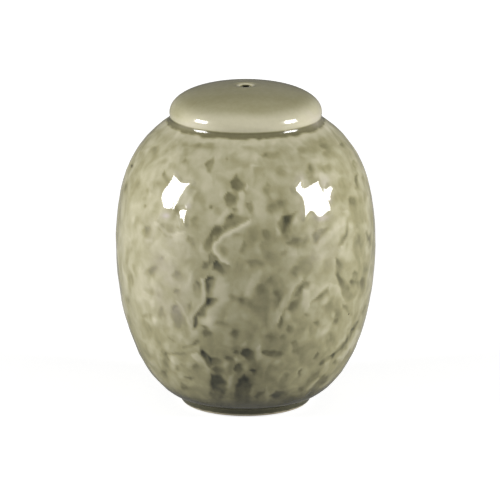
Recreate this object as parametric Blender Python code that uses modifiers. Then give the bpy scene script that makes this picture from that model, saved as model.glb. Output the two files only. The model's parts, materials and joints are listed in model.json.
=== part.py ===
"""A pepper shaker: a slip-cast, glazed stoneware vessel with a domed top and one pouring hole,
filled from below through a hole in its base that a soft silicone stopper closes.

Metres, +Z up. The origin is on the table, on the axis, under the middle of the foot ring.
"""

import math

import bpy
from mathutils import Vector
from mathutils.geometry import interpolate_bezier

# Vessel, outside
HEIGHT = 0.080
BODY_RADIUS = 0.032
EQUATOR_HEIGHT = 0.040
CAP_HEIGHT = 0.0078
CAP_RADIUS = 0.01878
CAP_WALL_HEIGHT = 0.0007
CAP_ROUNDNESS = 2.31
NECK_STEP = 0.0010
NECK_FILLET = 0.0020
SHOULDER_ANGLE = math.radians(35.8)
SHOULDER_NECK_HANDLE = 0.0095
SHOULDER_EQUATOR_HANDLE = 0.0179
BELLY_EQUATOR_HANDLE = 0.0169
BELLY_FOOT_HANDLE = 0.0108
BELLY_FOOT_ANGLE = math.radians(19.0)

# Vessel, walls and holes
WALL = 0.0040
DOME_THICKNESS = 0.0042
BASE_THICKNESS = 0.0040
POUR_HOLE_RADIUS = 0.00125
POUR_RIM_ROUND = 0.0009
FILL_HOLE_RADIUS = 0.0090
FILL_HOLE_EDGE = 0.0005

# Foot ring
FOOT_HEIGHT = 0.0018
FOOT_FLARE = 0.0002
FOOT_WIDTH = 0.0026
FOOT_EDGE = 0.0006

# Stopper
STOPPER_CLEARANCE = 0.0003
FLANGE_OVERLAP = 0.0022
FLANGE_THICKNESS = 0.0016
FLANGE_EDGE = 0.0004
FLANGE_LIFT = 0.0013
PLUG_PROUD = 0.0019
PLUG_WALL = 0.0020
PLUG_END = 0.0020
PLUG_LEAD = 0.0009
RIB_COUNT = 2
RIB_HEIGHT = 0.0005
RIB_WIDTH = 0.0010
TAB_RADIUS = 0.0032
TAB_REACH = 0.0014
TAB_FINGER_GAP = 0.0008
TAB_THICKNESS = 0.0009
TAB_EDGE = 0.0003

# Facets
TURNED_STEPS = 48
CURVE_POINTS = 13
DOME_POINTS = 11
CAVITY_CURVE_POINTS = 7
CAVITY_DOME_POINTS = 7
FILLET_POINTS = 5
RIM_POINTS = 4
TAB_EDGE_STEPS = 2
MERGE_DISTANCE = 0.00001

# Places that follow from the sizes above
CAP_BASE = HEIGHT - CAP_HEIGHT + CAP_WALL_HEIGHT
NECK = Vector((CAP_RADIUS - NECK_STEP, HEIGHT - CAP_HEIGHT))
FLANGE_RADIUS = FILL_HOLE_RADIUS + FLANGE_OVERLAP
TAB_TIP_RADIUS = FLANGE_RADIUS + TAB_REACH
FOOT_INNER_RADIUS = TAB_TIP_RADIUS + TAB_FINGER_GAP
FOOT_RADIUS = FOOT_INNER_RADIUS + FOOT_WIDTH
FLANGE_TOP = FLANGE_LIFT + FLANGE_THICKNESS
BASE_RECESS = FLANGE_TOP + STOPPER_CLEARANCE
CAVITY_FLOOR = BASE_RECESS + BASE_THICKNESS
PLUG_TOP = CAVITY_FLOOR + PLUG_PROUD
RIB_RADIUS = FILL_HOLE_RADIUS - STOPPER_CLEARANCE
PLUG_RADIUS = RIB_RADIUS - RIB_HEIGHT
CUP_RADIUS = PLUG_RADIUS - PLUG_WALL
CUP_ROOF = PLUG_TOP - PLUG_END


def clear_scene():
    for obj in list(bpy.data.objects):
        bpy.data.objects.remove(obj, do_unlink=True)


def new_collection(name):
    collection = bpy.data.collections.new(name)
    bpy.context.scene.collection.children.link(collection)
    return collection


def new_material(name, colour, roughness, coat):
    material = bpy.data.materials.new(name)
    material.use_nodes = True
    shader = material.node_tree.nodes["Principled BSDF"]
    shader.inputs["Base Color"].default_value = (*colour, 1.0)
    shader.inputs["Roughness"].default_value = roughness
    shader.inputs["Metallic"].default_value = 0.0
    shader.inputs["Coat Weight"].default_value = coat
    return material


def curve(start, start_handle, end_handle, end, count):
    """Points (radius, height) of a cubic Bezier from start to end."""
    knots = [point.to_3d() for point in (start, start_handle, end_handle, end)]
    return [point.to_2d() for point in interpolate_bezier(*knots, count)]


def dome(radius, base, top, inner_radius, count):
    """A crown from its edge at (radius, base) in to inner_radius: a superellipse that would peak at top."""
    last = math.acos((inner_radius / radius) ** (CAP_ROUNDNESS / 2))
    points = []
    for i in range(count):
        angle = last * i / (count - 1)
        points.append(
            Vector((
                radius * math.cos(angle) ** (2 / CAP_ROUNDNESS),
                base + (top - base) * math.sin(angle) ** (2 / CAP_ROUNDNESS),
            ))
        )
    return points


def offset(points, distance):
    """The same curve moved sideways, to the right of its direction of travel if distance is positive."""
    moved = []
    for i, point in enumerate(points):
        along = points[min(i + 1, len(points) - 1)] - points[max(i - 1, 0)]
        moved.append(point + Vector((along.y, -along.x)).normalized() * distance)
    return moved


def above(points, height):
    """The part of an upward curve above a height, starting exactly at it."""
    first = next(i for i, point in enumerate(points) if point.y > height)
    low, high = points[first - 1], points[first]
    crossing = low.lerp(high, (height - low.y) / (high.y - low.y))
    return [crossing] + points[first:]


def turned_object(name, profile, closed, collection, material):
    """A solid of revolution about Z from points (radius, height)."""
    count = len(profile)
    edges = [(i, (i + 1) % count) for i in range(count if closed else count - 1)]
    mesh = bpy.data.meshes.new(name)
    mesh.from_pydata([(point.x, 0.0, point.y) for point in profile], edges, [])
    mesh.materials.append(material)
    obj = bpy.data.objects.new(name, mesh)
    collection.objects.link(obj)
    screw = obj.modifiers.new("Turn", "SCREW")
    screw.axis = "Z"
    screw.angle = math.tau
    screw.steps = TURNED_STEPS
    screw.render_steps = TURNED_STEPS
    screw.use_merge_vertices = True
    screw.merge_threshold = MERGE_DISTANCE
    screw.use_smooth_shade = True
    return obj


def shoulder_start():
    """Where the neck's fillet runs into the shoulder."""
    return NECK + Vector((math.cos(SHOULDER_ANGLE), -math.sin(SHOULDER_ANGLE))) * NECK_FILLET


def shoulder(count):
    """From the neck down to the equator."""
    start = shoulder_start()
    down_slope = Vector((math.cos(SHOULDER_ANGLE), -math.sin(SHOULDER_ANGLE)))
    equator = Vector((BODY_RADIUS, EQUATOR_HEIGHT))
    above_equator = equator + Vector((0, SHOULDER_EQUATOR_HANDLE))
    return curve(start, start + down_slope * SHOULDER_NECK_HANDLE, above_equator, equator, count)


def belly(count):
    """From the equator down to the top of the foot ring."""
    equator = Vector((BODY_RADIUS, EQUATOR_HEIGHT))
    foot = Vector((FOOT_RADIUS + FOOT_FLARE, FOOT_HEIGHT))
    up_slope = Vector((math.cos(BELLY_FOOT_ANGLE), math.sin(BELLY_FOOT_ANGLE)))
    below_equator = equator - Vector((0, BELLY_EQUATOR_HANDLE))
    return curve(equator, below_equator, foot + up_slope * BELLY_FOOT_HANDLE, foot, count)


def pour_rim():
    """The rounded edge of the pouring hole, from its bore out to the dome."""
    points = []
    for i in range(RIM_POINTS):
        angle = math.pi - math.pi / 2 * i / (RIM_POINTS - 1)
        points.append(
            Vector((
                POUR_HOLE_RADIUS + POUR_RIM_ROUND * (1 + math.cos(angle)),
                HEIGHT - POUR_RIM_ROUND * (1 - math.sin(angle)),
            ))
        )
    return points


def cap_and_neck():
    """The smooth dome, from the pouring hole's rim to its own edge, and the fillet below it."""
    rim_radius = POUR_HOLE_RADIUS + POUR_RIM_ROUND
    crown = dome(CAP_RADIUS, CAP_BASE, HEIGHT, rim_radius, DOME_POINTS)[::-1]
    edge = crown[-1]
    fillet = curve(edge, edge.lerp(NECK, 2 / 3), shoulder_start().lerp(NECK, 2 / 3),
                   shoulder_start(), FILLET_POINTS)
    return crown[1:] + fillet[1:-1]


def foot_and_base():
    """From the foot ring's outer edge, under it and through the filling hole to the cavity's floor."""
    corners = [
        (FOOT_RADIUS, FOOT_EDGE),
        (FOOT_RADIUS - FOOT_EDGE, 0),
        (FOOT_INNER_RADIUS + FOOT_EDGE, 0),
        (FOOT_INNER_RADIUS, FOOT_EDGE),
        (FOOT_INNER_RADIUS, BASE_RECESS),
        (FILL_HOLE_RADIUS + FILL_HOLE_EDGE, BASE_RECESS),
        (FILL_HOLE_RADIUS, BASE_RECESS + FILL_HOLE_EDGE),
        (FILL_HOLE_RADIUS, CAVITY_FLOOR - FILL_HOLE_EDGE),
        (FILL_HOLE_RADIUS + FILL_HOLE_EDGE, CAVITY_FLOOR),
    ]
    return [Vector(corner) for corner in corners]


def cavity():
    """The inner wall, from the floor up to the underside of the dome at the pouring hole."""
    outside = belly(CAVITY_CURVE_POINTS)[::-1] + shoulder(CAVITY_CURVE_POINTS)[-2::-1]
    wall = above(offset(outside, -WALL), CAVITY_FLOOR)
    roof = dome(CAP_RADIUS - WALL, CAP_BASE, HEIGHT - DOME_THICKNESS, POUR_HOLE_RADIUS, CAVITY_DOME_POINTS)
    return wall + roof


def make_ceramic_body(collection):
    outside = pour_rim() + cap_and_neck() + shoulder(CURVE_POINTS) + belly(CURVE_POINTS)[1:]
    profile = outside + foot_and_base() + cavity()
    glaze = new_material("celadon_glaze", (0.40, 0.38, 0.26), roughness=0.12, coat=0.6)
    return turned_object("ceramic_body", profile, True, collection, glaze)


def stopper_profile():
    """From the axis at the plug's closed end, down its ribbed side and round its flange."""
    points = [(0, PLUG_TOP), (PLUG_RADIUS - PLUG_LEAD, PLUG_TOP), (PLUG_RADIUS, PLUG_TOP - PLUG_LEAD)]
    ribbed_length = PLUG_TOP - PLUG_LEAD - FLANGE_TOP
    for i in range(RIB_COUNT):
        middle = PLUG_TOP - PLUG_LEAD - ribbed_length * (i + 0.5) / RIB_COUNT
        points.append((PLUG_RADIUS, middle + RIB_WIDTH / 2))
        points.append((RIB_RADIUS, middle))
        points.append((PLUG_RADIUS, middle - RIB_WIDTH / 2))
    points += [
        (PLUG_RADIUS, FLANGE_TOP),
        (FLANGE_RADIUS - FLANGE_EDGE, FLANGE_TOP),
        (FLANGE_RADIUS, FLANGE_TOP - FLANGE_EDGE),
        (FLANGE_RADIUS, FLANGE_LIFT + FLANGE_EDGE),
        (FLANGE_RADIUS - FLANGE_EDGE, FLANGE_LIFT),
        (0, FLANGE_LIFT),
    ]
    return [Vector(point) for point in points]


def cylinder_helper(name, radius, bottom, top, x, collection):
    """An upright cylinder that another object is joined with or cut by."""
    bpy.ops.mesh.primitive_cylinder_add(
        vertices=TURNED_STEPS, radius=radius, depth=top - bottom, location=(x, 0, (bottom + top) / 2))
    helper = bpy.context.object
    helper.name = name
    for other in list(helper.users_collection):
        other.objects.unlink(helper)
    collection.objects.link(helper)
    helper.hide_render = True
    helper.display_type = "WIRE"
    return helper


def make_pull_tab(collection):
    """The round tongue that a fingernail lifts, flush with the underside of the flange."""
    tab = cylinder_helper("pull_tab_shape", TAB_RADIUS, FLANGE_LIFT, FLANGE_LIFT + TAB_THICKNESS,
                          TAB_TIP_RADIUS - TAB_RADIUS, collection)
    rounding = tab.modifiers.new("Round", "BEVEL")
    rounding.width = TAB_EDGE
    rounding.segments = TAB_EDGE_STEPS
    return tab


def make_stopper(collection, helpers):
    silicone = new_material("silicone", (0.62, 0.60, 0.55), roughness=0.45, coat=0.0)
    stopper = turned_object("stopper", stopper_profile(), False, collection, silicone)
    union = stopper.modifiers.new("Pull tab", "BOOLEAN")
    union.operation = "UNION"
    union.object = make_pull_tab(helpers)
    cut = stopper.modifiers.new("Cup", "BOOLEAN")
    cut.operation = "DIFFERENCE"
    cut.object = cylinder_helper("cup_cutter", CUP_RADIUS, 0, CUP_ROOF, 0, helpers)
    return stopper


def main():
    clear_scene()
    parts = new_collection("pepper_shaker")
    helpers = new_collection("helpers")
    make_ceramic_body(parts)
    make_stopper(parts, helpers)


main()
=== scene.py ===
"""Looks of a stoneware pepper shaker: celadon glaze over a stone-like relief, and a silicone stopper.

Lengths are in metres, +Z is up, and the camera stands on the -Y side of the vessel.
"""

import json
import math

import bpy
import numpy as np
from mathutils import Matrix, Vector, noise

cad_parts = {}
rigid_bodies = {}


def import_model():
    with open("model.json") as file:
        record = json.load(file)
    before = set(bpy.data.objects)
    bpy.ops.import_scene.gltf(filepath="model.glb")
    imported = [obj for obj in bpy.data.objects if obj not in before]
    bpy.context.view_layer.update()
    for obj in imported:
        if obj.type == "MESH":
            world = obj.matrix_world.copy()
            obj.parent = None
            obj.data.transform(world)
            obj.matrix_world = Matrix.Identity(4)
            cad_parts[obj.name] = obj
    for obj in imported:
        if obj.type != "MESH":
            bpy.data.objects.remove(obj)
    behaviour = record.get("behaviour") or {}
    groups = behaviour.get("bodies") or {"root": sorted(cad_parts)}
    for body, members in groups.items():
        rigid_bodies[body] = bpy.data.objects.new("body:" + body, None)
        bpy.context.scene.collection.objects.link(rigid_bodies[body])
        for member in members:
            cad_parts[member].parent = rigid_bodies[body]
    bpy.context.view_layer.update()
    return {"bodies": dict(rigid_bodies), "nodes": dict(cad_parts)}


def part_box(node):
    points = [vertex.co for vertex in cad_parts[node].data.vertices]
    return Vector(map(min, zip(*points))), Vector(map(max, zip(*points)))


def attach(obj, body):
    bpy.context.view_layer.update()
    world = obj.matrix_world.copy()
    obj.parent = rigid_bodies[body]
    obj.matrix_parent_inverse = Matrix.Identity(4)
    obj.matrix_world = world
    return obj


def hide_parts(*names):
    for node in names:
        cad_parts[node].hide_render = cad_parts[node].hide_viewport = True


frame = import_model()

# Photograph and camera
PHOTO_SIZE = 500
AXIS_COLUMN = 245.7
AIM_ROW = 245.4
FOCAL_PIXELS = 5756
SENSOR_WIDTH_MM = 36
CAMERA_DISTANCE = 1.42
CAMERA_PITCH = math.radians(14.69)
AIM_HEIGHT = 0.0394
CAMERA_REACH = 20

RIGHT = np.array([1.0, 0.0, 0.0])
UP = np.array([0.0, math.sin(CAMERA_PITCH), math.cos(CAMERA_PITCH)])
VIEW = np.array([0.0, math.cos(CAMERA_PITCH), -math.sin(CAMERA_PITCH)])
EYE = np.array([0.0, 0.0, AIM_HEIGHT]) - VIEW * CAMERA_DISTANCE

# Turned meshes
VESSEL_SEGMENTS = 370
FRONT_SHARE = 0.35
STOPPER_SEGMENTS = 256
FINE_STEP = 0.00005
CORNER_ANGLE = math.radians(40)
EDGE_ROUNDING = 0.00028
ROUNDING_REACH = 4
ANGLE_TABLE = 20
RING_TURN = math.radians(9)
INNER_RING_TURN = math.radians(30)
SMALLEST_RING_STEP = 0.00014
RELIEF_RING_STEP = 0.00043
PLAIN_RING_STEP = 0.0009
INNER_RING_STEP = 0.0060

# Neck between dome and shoulder
NECK_INSET = 0.00012
NECK_FALL = 0.0018
NECK_BAND = (0.00180, -0.00034)
NECK_BAND_EDGE = 0.00022
NECK_RAGGED = 0.00030
# Painted shadow: a thin dark line along the dome's rim, at the top of the neck's pool
NECK_SHADOW_LINE = 0.00022
NECK_SHADOW_LINE_DEPTH = 0.14
NECK_LIP = (0.0006, 0.0020)
NECK_LIP_DEPTH = -0.19
SHOULDER_STEPS = 20
FILLET_STRETCH = 1.3

# Glaze depths, which also carry painted shade: 0 is thin and pale, 1 is pooled and dark
GLAZE_RANGE = 1.25
BELLY_DEPTH = 0.52
# On the dome the glaze is thin and pale at the side, and its top is painted darker as shade
DOME_SIDE_DEPTH = 0.15
DOME_TOP_SHADE_DEPTH = 0.51
DOME_STREAK = 0.05
DOME_STREAK_STRETCH = 7.0
POUR_RIM_DEPTH = 0.02
NECK_DEPTH = 0.80
# Over the foot: pooled glaze, darkened further by painted shade near the table
FOOT_POOL_AND_SHADE_DEPTH = 1.00
INSIDE_DEPTH = 0.25
# Darker towards the bottom of the belly: partly pooled glaze, partly painted shade
LOW_BELLY_POOL_AND_SHADE = 0.11
LOW_BELLY = (0.036, 0.008)
FOOT_POOL_AND_SHADE_REACH = (0.0085, 0.0024)
POUR_RIM_REACH = (0.0017, 0.0023)
# Painted shade in the pour hole: dark below its rim, darkest across its middle
BORE_FALL = (0.00022, 0.00042)
BORE_SHADE_CORE = (0.0005, 0.0011)
BORE_SHADE_SIDE_DEPTH = 0.80
DOME_PALE = (0.0021, 0.0051)
# A pale line on the foot's top edge: thin glaze there, painted paler as a highlight
FOOT_LINE_HEIGHT = 0.0019
FOOT_LINE = 0.00030
FOOT_LINE_GLAZE_AND_HIGHLIGHT = -0.14
BARE_HEIGHT = 0.0008
BARE_EDGE = 0.0004
BARE_WAVE = 0.35

# Relief of the belly
MARK_DEPTH = 0.68
MARK_EDGE = 1.6
MARK_SLOPE = 0.8
POOL_EDGE = 1.45
EDGE_STEP = 2.0
MARK_LIP = 0.25
MARK_LIP_PLACE, MARK_LIP_WIDTH = 1.25, 0.2
MARK_SLANT = 0.5
# Pools are deeper towards their upper left: partly pooled glaze, partly painted shade under their steep upper
# edge
PATCH_TILT = 0.50
PATCH_SIDE = 45
MARK_BREAK = 0.8
PAINTED_SHEEN_BREAK = 1.5
RELIEF_DEPTH = 0.00020
FACET_EDGE = 3.0
SWELL_DEPTH = 0.00014
SWELL_SIZE = 0.0085
CHIP_LIFT = 0.00004
FLAKE_SIZE, FLAKE_DEPTH = 0.0013, 0.04
CHIP_SIZE, CHIP_DEPTH = 0.0026, 0.10
PLANE_SIZE, PLANE_DEPTH = 0.0062, 0.08
CLOUD_SIZE, CLOUD_DEPTH = 0.0048, 0.08
FACET_CRISPNESS = 8.0
FACET_STRETCH = 0.70
FACET_LEVEL_SEED, FACET_SLOPE_SEED = 5.3, 9.7
WARP_SIZE = 0.0045
WARP_REACH = 0.0014
RAGGED_SIZE = 0.0016
RAGGED_REACH = 0.00035
SHOULDER_FADE = (-0.0002, 0.0025)
FOOT_FADE = (0.0030, 0.0060)
FRONT_FADE = (0.03, 0.20)
BACK_MARKS = 260
BACK_SEED = 7
BACK_HALF_WIDTH = (0.0007, 0.0017)
BACK_STRETCH = (1.0, 2.4)
BACK_LEAN = (10, 35)
BACK_DEPTHS = [0.25, 0.35, 0.5, 0.8, -0.3, -0.45]
NOISE_SEED = 3

# What the photo shows of the relief, in its columns and rows. A depth above zero is pooled glaze, one below
# zero is thin glaze.

# Pools and ridges with a clear outline: depth, half width of the edge, and the corners
PATCHES = [
    # Upper left
    (0.54, 1.5, [(205, 164), (208, 160), (214, 156), (214, 164), (211, 173), (208, 172)]),
    (0.40, 1.5, [
        (237, 173), (241, 180), (245, 184), (241, 190), (237, 191), (231, 188), (230, 182), (233, 179)]),
    (0.46, 1.2, [(223, 197), (228, 191), (233, 194), (237, 197), (235, 203), (231, 208), (226, 205)]),
    (0.33, 1.5, [(232, 208), (237, 208), (238, 213), (234, 214)]),
    (0.36, 1.3, [
        (227, 218), (230, 214), (240, 216), (247, 218), (241, 222), (231, 227), (226, 231), (222, 227)]),
    (0.36, 1.2, [(227, 217), (231, 214), (234, 216), (231, 219)]),
    (0.40, 1.3, [(214, 227), (216, 224), (221, 225), (222, 231), (217, 235), (212, 236), (209, 234)]),
    (0.28, 1.4, [(209, 234), (212, 236), (213, 239), (211, 250), (208, 251), (205, 248), (206, 240)]),
    (0.38, 1.3, [(208, 260), (208, 256), (212, 252), (217, 258), (218, 262), (214, 264), (209, 264)]),
    (0.54, 1.3, [(214, 263), (217, 260), (221, 263), (226, 272), (222, 274), (218, 271), (213, 270)]),
    (0.31, 1.8, [(202, 267), (203, 262), (208, 262), (211, 264), (208, 268), (204, 269)]),
    (0.33, 2.2, [(241, 252), (241, 245), (244, 241), (247, 245), (247, 251), (244, 253)]),
    (0.29, 2.4, [(190, 221), (193, 217), (198, 217), (201, 222), (198, 227), (192, 226)]),
    (0.28, 2.2, [(142, 230), (145, 226), (150, 226), (153, 231), (151, 236), (145, 236)]),
    (0.32, 2.2, [(144, 274), (147, 269), (152, 266), (157, 267), (155, 275), (151, 281), (147, 280)]),
    (0.38, 2.4, [(172, 275), (175, 271), (181, 272), (187, 277), (187, 282), (180, 283), (175, 280)]),
    (0.32, 2.0, [(186, 240), (188, 236), (193, 238), (197, 248), (196, 252), (190, 244)]),
    (0.36, 1.6, [(160, 259), (161, 257), (165, 256), (165, 258), (162, 260)]),
    (0.38, 1.6, [(162, 174), (164, 170), (168, 175), (170, 180), (168, 183), (164, 179)]),
    (0.36, 2.0, [(182, 162), (185, 158), (188, 160), (189, 164), (185, 166)]),
    (-0.40, 1.5, [
        (237, 206), (239, 199), (238, 193), (243, 191), (246, 194), (243, 203), (243, 212), (240, 215)]),
    (-0.36, 1.2, [(245, 189), (246, 184), (248, 187), (247, 190)]),
    (-0.28, 1.5, [(216, 221), (223, 212), (227, 208), (230, 212), (226, 217), (220, 222)]),
    (-0.18, 1.6, [(200, 243), (203, 246), (207, 253), (207, 260), (204, 260), (200, 254)]),
    (-0.22, 2.0, [(172, 236), (178, 232), (185, 233), (183, 240), (178, 244)]),
    # Upper right
    (0.42, 1.4, [(246, 207), (246, 202), (251, 202), (253, 207), (256, 220), (253, 218), (248, 212)]),
    (0.28, 2.4, [(266, 211), (267, 206), (278, 201), (286, 200), (288, 204), (277, 211), (272, 214)]),
    (0.48, 1.6, [
        (277, 223), (281, 217), (290, 214), (296, 211), (291, 220), (289, 227), (282, 234), (280, 230)]),
    (0.12, 1.8, [(283, 221), (287, 217), (289, 220), (287, 224), (284, 224)]),
    (0.28, 2.2, [(263, 189), (267, 182), (270, 185), (271, 191), (270, 199), (267, 197)]),
    (0.33, 2.0, [(262, 155), (268, 152), (278, 152), (279, 156), (275, 159), (263, 157)]),
    (0.28, 2.5, [(262, 230), (268, 229), (272, 237), (271, 245), (266, 243), (263, 236)]),
    (0.26, 2.5, [(259, 245), (262, 241), (268, 244), (267, 249), (262, 252)]),
    (0.32, 2.4, [(245, 261), (256, 259), (266, 262), (263, 267), (250, 267)]),
    (0.33, 1.6, [(281, 255), (283, 251), (286, 249), (288, 251), (285, 255)]),
    (0.34, 2.4, [(286, 243), (293, 239), (307, 237), (310, 242), (305, 248), (294, 248)]),
    (0.26, 1.8, [(308, 167), (309, 164), (313, 167), (316, 171), (312, 174)]),
    (0.20, 2.0, [(320, 146), (325, 143), (333, 145), (332, 149), (325, 149)]),
    (0.31, 1.8, [(339, 146), (341, 142), (345, 145), (344, 149), (341, 148)]),
    (0.36, 1.8, [(352, 162), (354, 159), (357, 163), (358, 167), (356, 169)]),
    (0.46, 1.6, [(355, 189), (355, 175), (358, 173), (358, 182), (359, 190)]),
    (0.26, 1.6, [(362, 177), (364, 174), (367, 182), (368, 188), (365, 183)]),
    (0.26, 2.4, [(347, 199), (351, 196), (356, 197), (360, 201), (359, 207), (354, 207), (349, 204)]),
    (0.18, 2.2, [(353, 245), (354, 238), (357, 232), (360, 235), (361, 245), (357, 247)]),
    (0.28, 1.5, [(365, 234), (367, 231), (370, 240), (371, 245), (368, 240)]),
    (0.36, 1.8, [(312, 235), (315, 231), (322, 228), (330, 229), (321, 236), (319, 244), (315, 243)]),
    (0.33, 1.8, [(336, 263), (337, 258), (340, 260), (344, 268), (340, 267)]),
    (0.38, 2.2, [(347, 226), (350, 229), (347, 238), (343, 245), (338, 246), (340, 240), (345, 234)]),
    (-0.28, 1.3, [(275, 227), (278, 229), (281, 234), (277, 235)]),
    (-0.26, 1.8, [(292, 222), (296, 217), (300, 220), (301, 230), (296, 236), (289, 234)]),
    (-0.18, 1.6, [(342, 211), (347, 210), (351, 213), (348, 217)]),
    # Lower left
    (0.30, 2.4, [
        (205, 287), (206, 282), (208, 277), (213, 276), (215, 280), (213, 290), (210, 298), (206, 291)]),
    (0.33, 1.8, [(205, 282), (208, 277), (213, 276), (216, 280), (210, 280)]),
    (0.52, 1.5, [
        (207, 299), (217, 298), (218, 301), (210, 307), (204, 317), (200, 318), (198, 315), (204, 308)]),
    (0.42, 2.2, [(193, 326), (194, 321), (196, 317), (199, 321), (199, 325), (196, 330)]),
    (0.34, 2.0, [(193, 285), (196, 281), (200, 284), (203, 296), (200, 299), (195, 298)]),
    (0.38, 1.6, [(187, 307), (188, 303), (191, 301), (191, 308), (189, 312)]),
    (0.42, 1.3, [
        (201, 325), (206, 327), (210, 330), (213, 333), (210, 336), (204, 337), (202, 334), (204, 330)]),
    (0.38, 1.3, [(192, 346), (193, 342), (197, 339), (200, 340), (199, 344)]),
    (0.52, 1.3, [(200, 354), (201, 350), (205, 352), (211, 357), (211, 360), (209, 365), (205, 362)]),
    (0.40, 1.8, [(209, 357), (221, 359), (223, 363), (217, 367), (210, 365)]),
    (0.56, 2.8, [(211, 374), (221, 375), (227, 384), (225, 394), (223, 403), (212, 401), (210, 393)]),
    (0.61, 2.8, [
        (235, 393), (236, 385), (239, 379), (245, 375), (252, 384), (250, 393), (249, 404), (237, 404)]),
    (0.52, 1.4, [
        (241, 354), (243, 350), (247, 349), (254, 351), (255, 355), (254, 359), (251, 361), (245, 359)]),
    (0.36, 1.4, [(224, 358), (226, 356), (231, 357), (234, 360), (231, 362), (227, 360)]),
    (0.38, 1.4, [(233, 353), (237, 351), (240, 352), (239, 355), (235, 355)]),
    (0.46, 1.6, [(233, 369), (235, 366), (239, 363), (242, 366), (243, 369), (241, 373), (238, 375)]),
    (0.36, 2.4, [(230, 333), (233, 329), (240, 331), (242, 336), (237, 339), (232, 337)]),
    (0.31, 1.8, [(214, 325), (217, 321), (223, 322), (229, 325), (226, 327)]),
    (0.24, 2.6, [(228, 296), (231, 293), (236, 296), (242, 299), (240, 303), (231, 302)]),
    (0.33, 1.6, [(168, 337), (172, 339), (177, 341), (176, 343), (172, 341)]),
    (0.36, 2.0, [(175, 369), (177, 365), (182, 363), (187, 366), (182, 369), (177, 372)]),
    (0.38, 1.3, [(184, 378), (192, 377), (194, 378), (190, 380)]),
    (0.38, 1.8, [(180, 387), (181, 382), (186, 384), (188, 388), (185, 391)]),
    (0.28, 2.2, [(160, 374), (162, 370), (167, 371), (168, 376), (164, 379)]),
    (0.20, 1.8, [(160, 354), (162, 349), (164, 351), (164, 356), (161, 357)]),
    (0.33, 1.5, [(174, 293), (176, 289), (181, 289), (178, 295)]),
    (0.33, 1.4, [(172, 308), (174, 306), (177, 307), (173, 310)]),
    (0.33, 1.8, [(143, 316), (145, 313), (153, 315), (152, 320), (148, 319)]),
    (0.24, 1.8, [
        (171, 306), (176, 306), (183, 316), (188, 328), (190, 338), (184, 337), (176, 327), (171, 316)]),
    (-0.22, 3.0, [
        (215, 281), (219, 277), (225, 278), (227, 287), (227, 297), (221, 313), (211, 330), (202, 324),
        (204, 318), (216, 303), (219, 299), (213, 295)]),
    (-0.32, 1.5, [(200, 277), (203, 279), (204, 287), (207, 293), (206, 298), (202, 301), (202, 292)]),
    (-0.36, 1.5, [(191, 354), (197, 353), (201, 357), (208, 367), (202, 364), (194, 359)]),
    (-0.26, 1.6, [(191, 331), (196, 330), (199, 335), (195, 339), (191, 337)]),
    (-0.22, 2.0, [(183, 287), (187, 281), (189, 273), (193, 270), (193, 277), (190, 288), (186, 291)]),
    (-0.32, 1.4, [(234, 359), (237, 357), (240, 360), (237, 362)]),
    (-0.26, 1.6, [(241, 349), (243, 342), (247, 340), (246, 345)]),
    (-0.34, 2.0, [(228, 376), (233, 374), (232, 386), (229, 397), (225, 396), (227, 388)]),
    # Lower right
    (0.20, 2.0, [(266, 284), (267, 280), (271, 276), (272, 280), (272, 283)]),
    (0.16, 2.4, [(270, 295), (273, 291), (280, 290), (281, 295), (277, 298)]),
    (0.15, 2.6, [(238, 299), (246, 297), (258, 306), (270, 319), (266, 321), (251, 309)]),
    (0.41, 1.7, [
        (301, 285), (306, 281), (310, 282), (308, 287), (303, 290), (300, 297), (295, 297), (296, 291)]),
    (0.36, 2.0, [(287, 309), (291, 302), (301, 297), (301, 303), (297, 309), (291, 312)]),
    (0.34, 1.5, [(311, 303), (314, 299), (321, 294), (325, 288), (328, 287), (328, 291), (317, 300)]),
    (0.26, 2.2, [
        (337, 275), (338, 272), (347, 284), (350, 288), (348, 291), (343, 295), (342, 289), (339, 284)]),
    (0.36, 1.5, [(352, 275), (354, 272), (358, 273), (358, 277), (354, 277)]),
    (0.28, 1.5, [(350, 281), (352, 279), (356, 282), (351, 286)]),
    (0.36, 1.8, [(342, 305), (347, 305), (352, 314), (347, 312)]),
    (0.28, 1.6, [(360, 313), (362, 307), (366, 305), (363, 315)]),
    (0.33, 1.6, [(304, 315), (306, 313), (309, 315), (308, 318)]),
    (0.36, 1.6, [(277, 326), (281, 317), (283, 321), (283, 325), (280, 330)]),
    (0.34, 2.0, [(286, 330), (288, 325), (293, 327), (296, 331), (291, 334)]),
    (0.30, 2.0, [(314, 323), (318, 320), (323, 326), (321, 330)]),
    (0.36, 1.6, [(332, 324), (334, 320), (337, 319), (337, 324)]),
    (0.31, 2.0, [(291, 343), (296, 341), (299, 346), (298, 352), (293, 353)]),
    (0.44, 1.5, [(261, 353), (263, 351), (274, 350), (282, 353), (283, 355), (277, 358), (267, 356)]),
    (0.42, 1.3, [(313, 359), (315, 355), (317, 352), (319, 354), (318, 358), (316, 360)]),
    (0.38, 1.6, [(332, 364), (336, 360), (340, 358), (338, 363)]),
    (0.46, 1.4, [(250, 371), (252, 369), (256, 369), (257, 372), (254, 374)]),
    (0.40, 2.0, [(270, 396), (276, 391), (285, 392), (292, 395), (297, 400), (285, 402)]),
    (0.40, 1.8, [(254, 396), (258, 392), (264, 391), (264, 395), (258, 399)]),
    (-0.26, 2.4, [(243, 298), (247, 286), (252, 275), (260, 270), (263, 274), (258, 283), (251, 296)]),
    (-0.28, 1.8, [(304, 289), (309, 291), (310, 300), (309, 311), (305, 312), (302, 303)]),
    (-0.26, 1.8, [(330, 283), (337, 285), (340, 292), (338, 297), (330, 296), (328, 289)]),
    (-0.40, 1.6, [(256, 349), (260, 344), (261, 351), (263, 357), (258, 362), (256, 358)]),
    (-0.20, 1.8, [(272, 364), (276, 360), (281, 361), (278, 367)]),
    (-0.26, 1.5, [(266, 386), (269, 392), (270, 402), (266, 402), (265, 394)]),
    (-0.26, 1.3, [(251, 388), (254, 388), (252, 395), (249, 394)]),
]

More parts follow.
